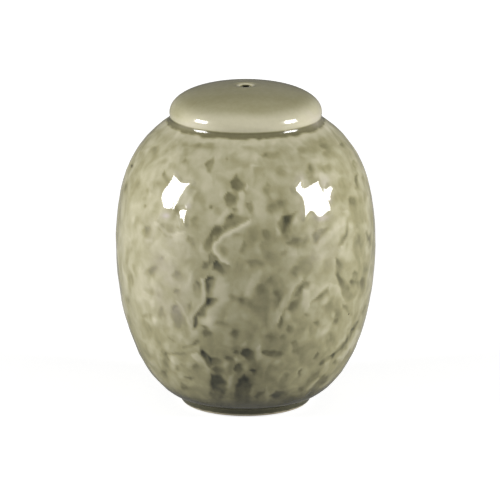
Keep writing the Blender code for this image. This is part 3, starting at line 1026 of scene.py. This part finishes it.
def make_vessel():
    """The ceramic body: the CAD outline turned finely, with the relief pressed into the belly."""
    loop = curved(half_outline(frame["nodes"]["ceramic_body"]))
    loop = softened(with_neck_fillet(loop), EDGE_ROUNDING, closed=True)
    chosen, ring, ring_normal = vessel_rings(loop)
    angle = around(VESSEL_SEGMENTS, FRONT_SHARE)
    points = around_axis(angle, ring[:, :1], ring[:, 1:])
    normals = around_axis(angle, ring_normal[:, :1], ring_normal[:, 1:])
    front = smooth_step(*FRONT_FADE, facing(points, normals))
    edge_height, zone = vessel_zones(loop, chosen, points)
    on_dome, on_belly, up = zone["dome"], zone["belly"], points[:, 2]

    lift = np.zeros(len(points))
    depth = np.where(zone["outside"], DOME_SIDE_DEPTH, INSIDE_DEPTH)
    depth[on_dome] = dome_depth(points[on_dome], edge_height, loop[:, 1].max())
    lift[on_belly], depth[on_belly] = relief(points[on_belly], front[on_belly])
    lift *= smooth_step(*SHOULDER_FADE, edge_height - NECK_BAND[0] - up) * smooth_step(*FOOT_FADE, up)
    lift = with_facets(lift, points, normals, front * on_belly)

    ragged_up = shaken(points, RAGGED_SIZE, NECK_RAGGED)[:, 2]
    depth = with_neck(depth, up, ragged_up, edge_height, zone)
    # Pooled glaze, and painted shade and light across the front
    depth += front_pools_and_painted_light(points, POOLS_AND_PAINTED_LIGHT) * front * zone["outside"]
    depth = with_foot(depth, up, zone)
    clay_up = up + BARE_WAVE * (ragged_up - up)
    bare = smooth_step(BARE_HEIGHT, BARE_HEIGHT - BARE_EDGE, clay_up) * zone["lower"]
    # Painted sheen: reflections and glints painted pale into the glaze colour
    painted_sheen = front_pools_and_painted_light(points, PAINTED_SHEEN) * (1 + PAINTED_SHEEN_BREAK * fractal(points, CLOUD_SIZE, 3))

    moved = points + normals * lift[:, None]
    faces = ring_faces(len(ring), VESSEL_SEGMENTS, closed=True)
    piece = add_mesh("glazed_vessel", moved.tolist(), faces, celadon_glaze())
    add_attribute(piece, "glaze_depth_and_painted_shade", np.clip(depth, 0, GLAZE_RANGE))
    add_attribute(piece, "bare_clay", bare)
    add_attribute(piece, "painted_sheen", painted_sheen * front * zone["outside"])
    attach(piece, "vessel")
    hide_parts("ceramic_body")


def stopper_line(low, high, flange_radius):
    """The stopper's section, from its closed end over the ribs and the flange into its cup."""
    end, base = high.z, low.z
    flange_top = base + FLANGE_THICKNESS
    roof = end - CUP_END_THICKNESS
    line = [(0, end), (PLUG_RADIUS - PLUG_LEAD, end), (PLUG_RADIUS, end - PLUG_LEAD)]
    ribbed = end - PLUG_LEAD - flange_top
    for i in range(RIB_COUNT):
        middle = end - PLUG_LEAD - ribbed * (i + 0.5) / RIB_COUNT
        line += [
            (PLUG_RADIUS, middle + RIB_HALF_WIDTH),
            (RIB_RADIUS, middle),
            (PLUG_RADIUS, middle - RIB_HALF_WIDTH),
        ]
    line += [
        (PLUG_RADIUS, flange_top),
        (flange_radius - FLANGE_EDGE, flange_top),
        (flange_radius, flange_top - FLANGE_EDGE),
        (flange_radius, base + FLANGE_EDGE),
        (flange_radius - FLANGE_EDGE, base),
        (CUP_RADIUS, base),
        (CUP_RADIUS, roof),
        (GATE_RADIUS, roof),
        (GATE_RADIUS, roof - GATE_HEIGHT),
        (0, roof - GATE_HEIGHT),
    ]
    return straight(line)


def make_stopper():
    """The silicone stopper: ribbed plug, flange with a pull tab, and a cup for a fingertip."""
    low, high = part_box("stopper")
    flange_radius, tab_tip = -low.x, high.x
    line = softened(stopper_line(low, high, flange_radius), STOPPER_ROUNDING, closed=False)
    chosen = ring_indices(line, STOPPER_RING_STEP, RING_TURN, closed=False)
    ring = line[chosen[1:-1]]
    angle = around(STOPPER_SEGMENTS)
    centre = tab_tip - TAB_RADIUS
    half_chord = np.sqrt(np.maximum(TAB_RADIUS ** 2 - (centre * np.sin(angle)) ** 2, 0))
    in_sector = (np.cos(angle) > 0) & (half_chord > 0)
    reach = np.where(in_sector, np.maximum(centre * np.cos(angle) + half_chord - flange_radius, 0), 0)
    tab_top = low.z + TAB_THICKNESS
    share = smooth_step(tab_top + FLANGE_EDGE, tab_top, ring[:, 1])
    share = share * smooth_step(CUP_RADIUS, flange_radius - FLANGE_EDGE, ring[:, 0])
    radii = ring[:, :1] + share[:, None] * reach
    points = around_axis(angle, radii, ring[:, 1:]).tolist()
    faces = ring_faces(len(ring), STOPPER_SEGMENTS, closed=False)
    piece = add_mesh("silicone_stopper", *with_poles(points, faces, STOPPER_SEGMENTS), silicone())
    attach(piece, "stopper")
    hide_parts("stopper")


def linear(red, green, blue):
    """A colour written as 8-bit sRGB, as the shader takes it."""
    return [((c / 255 + 0.055) / 1.055) ** 2.4 for c in (red, green, blue)] + [1.0]


def grey(level):
    return (level, level, level, 1)


class Nodes:
    """Short forms for building a node tree."""

    def __init__(self, name):
        self.material = bpy.data.materials.new(name)
        self.material.use_nodes = True
        self.tree = self.material.node_tree

    def __getitem__(self, name):
        return self.tree.nodes[name]

    def add(self, kind, **settings):
        node = self.tree.nodes.new("ShaderNode" + kind)
        for key, value in settings.items():
            setattr(node, key, value)
        return node

    def link(self, source, target):
        self.tree.links.new(source, target)

    def math(self, operation, first, second, clamp=False):
        node = self.add("Math", operation=operation, use_clamp=clamp)
        for socket, value in zip(node.inputs, (first, second)):
            if isinstance(value, (int, float)):
                socket.default_value = value
            else:
                self.link(value, socket)
        return node.outputs[0]

    def attribute(self, name):
        return self.add("Attribute", attribute_name=name).outputs["Fac"]

    def noise(self, size, detail=2.0, roughness=0.5):
        """Noise of a feature size in metres, about 0 to 1."""
        node = self.add("TexNoise")
        node.inputs["Scale"].default_value = 1 / size
        node.inputs["Detail"].default_value = detail
        node.inputs["Roughness"].default_value = roughness
        self.link(self.coordinates(), node.inputs["Vector"])
        return node.outputs["Fac"]

    def coordinates(self):
        if "Texture Coordinate" not in self.tree.nodes:
            self.add("TexCoord")
        return self["Texture Coordinate"].outputs["Object"]

    def ramp(self, value, stops):
        node = self.add("ValToRGB")
        elements = node.color_ramp.elements
        while len(elements) < len(stops):
            elements.new(0.5)
        for element, (position, colour) in zip(elements, stops):
            element.position = position
            element.color = linear(*colour)
        self.link(value, node.inputs["Fac"])
        return node.outputs["Color"]

    def mix(self, share, first, second):
        """Two colours, from sockets or as 8-bit sRGB, mixed: first where share is 0, second where it is 1."""
        node = self.add("Mix", data_type="RGBA")
        self.link(share, node.inputs["Factor"])
        for name, value in (("A", first), ("B", second)):
            socket = next(s for s in node.inputs if s.name == name and s.type == "RGBA")
            if isinstance(value, tuple):
                socket.default_value = linear(*value)
            else:
                self.link(value, socket)
        return next(s for s in node.outputs if s.type == "RGBA")

    def bump(self, height, strength, distance):
        node = self.add("Bump")
        node.inputs["Strength"].default_value = strength
        node.inputs["Distance"].default_value = distance
        self.link(height, node.inputs["Height"])
        return node.outputs["Normal"]

    def between(self, share, low, high):
        """A number that goes from low to high as share goes from 0 to 1."""
        node = self.add("MapRange")
        node.inputs["To Min"].default_value = low
        node.inputs["To Max"].default_value = high
        self.link(share, node.inputs["Value"])
        return node.outputs["Result"]


def specks(nodes):
    """A few iron specks: 1 inside a speck, 0 elsewhere."""
    cells = nodes.add("TexVoronoi")
    cells.inputs["Scale"].default_value = 1 / SPECK_SPACING
    nodes.link(nodes.coordinates(), cells.inputs["Vector"])
    near = nodes.math("LESS_THAN", cells.outputs["Distance"], SPECK_RADIUS / SPECK_SPACING)
    split = nodes.add("SeparateColor")
    nodes.link(cells.outputs["Color"], split.inputs["Color"])
    return nodes.math("MULTIPLY", near, nodes.math("LESS_THAN", split.outputs["Red"], SPECK_SHARE))


def celadon_glaze():
    """Glossy olive-grey glaze, darker the deeper it lies and where shade is painted in, with painted sheen,
    over clay that stays bare under the foot.
    """
    nodes = Nodes("celadon_glaze")
    shader = nodes["Principled BSDF"]
    bare = nodes.attribute("bare_clay")
    mottle = nodes.math("MULTIPLY", nodes.math("SUBTRACT", nodes.noise(MOTTLE_SIZE, 3), 0.5), MOTTLE_DEPTH)
    grain = nodes.math("MULTIPLY", nodes.math("SUBTRACT", nodes.noise(GRAIN_SIZE), 0.5), GRAIN_DEPTH)
    depth = nodes.math("ADD", nodes.attribute("glaze_depth_and_painted_shade"), nodes.math("ADD", mottle, grain))
    stops = [(stop / GLAZE_RANGE, colour) for stop, colour in GLAZE_STOPS]
    glaze = nodes.ramp(nodes.math("MULTIPLY", depth, 1 / GLAZE_RANGE), stops)
    # Painted sheen mixed into the glaze colour
    glaze = nodes.mix(nodes.attribute("painted_sheen"), glaze, PAINTED_SHEEN_GREY)
    glaze = nodes.mix(specks(nodes), glaze, SPECK_BROWN)
    clay = nodes.mix(nodes.noise(CLAY_GRAIN_SIZE, 4), CLAY_PALE, CLAY_DARK)
    nodes.link(nodes.mix(bare, glaze, clay), shader.inputs["Base Color"])

    gloss = nodes.between(nodes.noise(PEEL_SIZE, 3), *GLAZE_ROUGHNESS)
    rough = nodes.math("ADD", gloss, nodes.math("MULTIPLY", bare, CLAY_ROUGHNESS), clamp=True)
    nodes.link(rough, shader.inputs["Roughness"])
    peel = nodes.math("MULTIPLY", nodes.noise(PEEL_SIZE, 1), PEEL_DEPTH)
    clay_grain = nodes.math("MULTIPLY", bare, nodes.noise(CLAY_GRAIN_SIZE, 4))
    nodes.link(nodes.bump(nodes.math("ADD", peel, clay_grain), *GLAZE_BUMP), shader.inputs["Normal"])
    shader.inputs["IOR"].default_value = GLAZE_IOR
    return nodes.material


def silicone():
    """Satin off-white silicone with a finely eroded skin and a little dust."""
    nodes = Nodes("silicone")
    shader = nodes["Principled BSDF"]
    dust = nodes.noise(DUST_SIZE, 4, DUST_BREAK)
    nodes.link(nodes.ramp(dust, SILICONE_STOPS), shader.inputs["Base Color"])
    satin = nodes.between(nodes.noise(SATIN_SIZE, 3), *SILICONE_ROUGHNESS)
    nodes.link(satin, shader.inputs["Roughness"])
    nodes.link(nodes.bump(nodes.noise(SKIN_SIZE, 3), *SILICONE_BUMP), shader.inputs["Normal"])
    return nodes.material


def studio_white():
    """A pale surface that camera and reflections see white: it takes the shadow and is clear from below."""
    nodes = Nodes("studio_white")
    nodes.tree.nodes.remove(nodes["Principled BSDF"])
    path = nodes.add("LightPath")
    seen = nodes.math("ADD", path.outputs["Is Camera Ray"], path.outputs["Is Glossy Ray"])
    seen = nodes.math("ADD", seen, path.outputs["Is Transmission Ray"], clamp=True)
    emission = nodes.add("Emission")
    nodes.link(nodes.math("MULTIPLY", seen, nodes.attribute("glow")), emission.inputs["Strength"])
    diffuse = nodes.add("BsdfDiffuse")
    diffuse.inputs["Color"].default_value = grey(FLOOR_GREY)
    pale = nodes.add("AddShader")
    nodes.link(diffuse.outputs[0], pale.inputs[0])
    nodes.link(emission.outputs[0], pale.inputs[1])
    sides = nodes.add("MixShader")
    nodes.link(nodes.add("NewGeometry").outputs["Backfacing"], sides.inputs[0])
    nodes.link(pale.outputs[0], sides.inputs[1])
    nodes.link(nodes.add("BsdfTransparent").outputs[0], sides.inputs[2])
    nodes.link(sides.outputs[0], nodes["Material Output"].inputs["Surface"])
    return nodes.material


def card_grey():
    nodes = Nodes("card_grey")
    nodes["Principled BSDF"].inputs["Base Color"].default_value = grey(CARD_GREY)
    nodes["Principled BSDF"].inputs["Roughness"].default_value = 1.0
    nodes["Principled BSDF"].inputs["Specular IOR Level"].default_value = 0.0
    return nodes.material


def sweep(radii, bend, steps, height, level):
    """Section of a floor at a level that bends up into a wall at the last of the radii."""
    section = [(radius, level) for radius in radii[:-1]]
    for a in np.linspace(0, math.pi / 2, steps):
        section.append((radii[-1] - bend * (1 - math.sin(a)), bend * (1 - math.cos(a)) + level))
    return np.array(section + [(radii[-1], height)])


def stage_disc(name, section, material):
    """A round stage piece from its section. It goes down with the stopper, so that it stays clear of it."""
    angle = np.arange(COVE_SIDES) * math.tau / COVE_SIDES
    points = around_axis(angle, section[:, :1], section[:, 1:])
    faces = [list(range(COVE_SIDES))] + ring_faces(len(section), COVE_SIDES, closed=False)
    disc = add_mesh(name, points.tolist(), faces, material)
    disc.parent = frame["bodies"]["stopper"]
    return disc


def make_cove():
    """A pale floor that bends up into a low wall all round."""
    radii = (*FLOOR_GLOW_REACH, COVE_FLAT, COVE_RADIUS)
    section = sweep(radii, COVE_BEND, COVE_STEPS, COVE_HEIGHT, -FLOOR_DROP)
    cove = stage_disc("cove", section, studio_white())
    glow = np.interp(section[:, 0], FLOOR_GLOW_REACH, FLOOR_GLOW)
    add_attribute(cove, "glow", np.repeat(glow, COVE_SIDES))


def make_card():
    """A grey sweep that only reflections see: it keeps the glaze's edges from fading into the white."""
    section = sweep((CARD_FLAT, CARD_RADIUS), CARD_BEND, CARD_STEPS, CARD_HEIGHT, -FLOOR_DROP / 2)
    card = stage_disc("card", section, card_grey())
    card.visible_camera = False
    card.visible_diffuse = False
    card.visible_shadow = False
    card.visible_transmission = False


def softbox_place(azimuth):
    flat = math.cos(SOFTBOX_ELEVATION)
    towards = (math.sin(azimuth) * flat, -math.cos(azimuth) * flat, math.sin(SOFTBOX_ELEVATION))
    return np.array([0.0, 0.0, AIM_HEIGHT]) + SOFTBOX_DISTANCE * np.array(towards)


def make_softbox(azimuth):
    light = bpy.data.lights.new("softbox", "AREA")
    light.shape = "RECTANGLE"
    light.size, light.size_y = SOFTBOX_SIZE
    light.energy = SOFTBOX_POWER
    lamp = add_object("softbox", light)
    lamp.location = softbox_place(azimuth)
    lamp.rotation_mode = "QUATERNION"
    lamp.rotation_quaternion = (lamp.location - Vector((0, 0, AIM_HEIGHT))).to_track_quat("Z", "Y")


def make_world():
    world = bpy.data.worlds.new("studio")
    world.use_nodes = True
    world.node_tree.nodes["Background"].inputs["Color"].default_value = grey(WORLD_GREY)
    bpy.context.scene.world = world


def make_camera():
    """The camera that took the photograph, with the shift that puts the vessel where it stands there."""
    data = bpy.data.cameras.new("camera")
    data.sensor_width = SENSOR_WIDTH_MM
    data.sensor_fit = "HORIZONTAL"
    data.lens = SENSOR_WIDTH_MM * FOCAL_PIXELS / PHOTO_SIZE
    data.shift_x = (PHOTO_SIZE / 2 - AXIS_COLUMN) / PHOTO_SIZE
    data.shift_y = (AIM_ROW - PHOTO_SIZE / 2) / PHOTO_SIZE
    data.clip_end = CAMERA_REACH
    camera = add_object("camera", data)
    camera.location = EYE
    camera.rotation_euler = (math.pi / 2 - CAMERA_PITCH, 0, 0)
    bpy.context.scene.camera = camera


bpy.context.scene.view_settings.view_transform = "Standard"
noise.seed_set(NOISE_SEED)
make_vessel()
make_stopper()
make_cove()
make_card()
for softbox_azimuth in SOFTBOX_AZIMUTHS:
    make_softbox(softbox_azimuth)
make_world()
make_camera()
